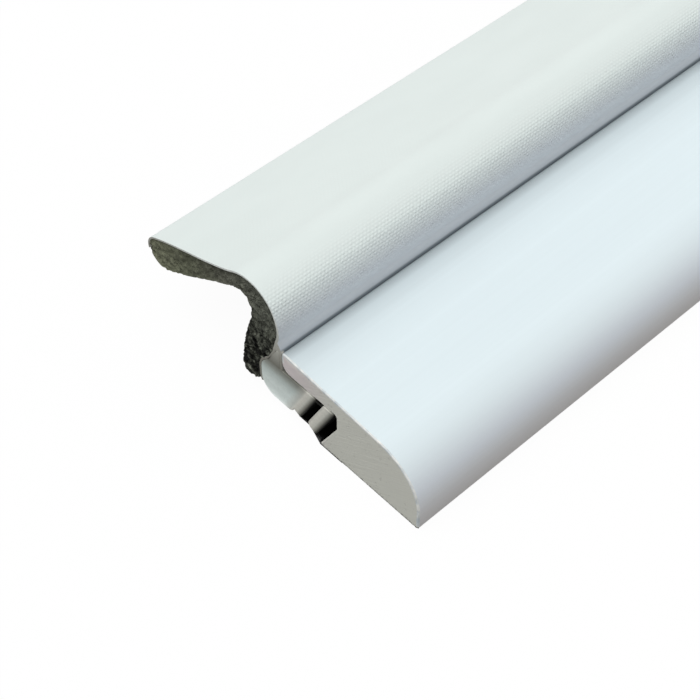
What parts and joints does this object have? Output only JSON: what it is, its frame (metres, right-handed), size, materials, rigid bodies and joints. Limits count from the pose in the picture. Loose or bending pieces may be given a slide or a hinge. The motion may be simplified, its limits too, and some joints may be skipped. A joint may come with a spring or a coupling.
{
  "type": "door sweep",
  "caption": "Straight door sweep: a rigid plastic carrier with a flat back and a thin lip, and a barbed push-in seal whose film-covered foam leaf flexes at its root.",
  "frame": {"origin": "middle of the carrier's flat back face", "axes": "+X along the strip's length, +Y from the carrier towards the seal's leaf, +Z out of the back face towards the front"},
  "size_m": [0.914, 0.0506, 0.0208],
  "materials": {
    "carrier_plastic": "smooth white extruded plastic, satin",
    "insert_plastic": "pale natural plastic, slightly translucent",
    "seal_foam": "dark grey-green open foam, rough where cut",
    "seal_film": "thin white woven film with very fine short ribs, satin"
  },
  "bodies": {
    "carrier_bar": {"carrier": "carrier_plastic"},
    "seal_base": {"barbed_insert": "insert_plastic", "foam_root": "seal_foam"},
    "seal_leaf": {"foam_leaf": "seal_foam", "film_skin": "seal_film"}
  },
  "joints": [
    {"name": "seal_push", "type": "slide", "parent": "carrier_bar", "child": "seal_base", "axis": [0, 1, 0], "range_m": [0, 0.01]},
    {"name": "leaf_flex", "type": "hinge", "parent": "seal_base", "child": "seal_leaf", "pos_m": [0, 0.0189, 0.0132], "axis": [1, 0, 0], "range_deg": [-25, 35], "stiffness_Nm_per_rad": 0.8}
  ]
}
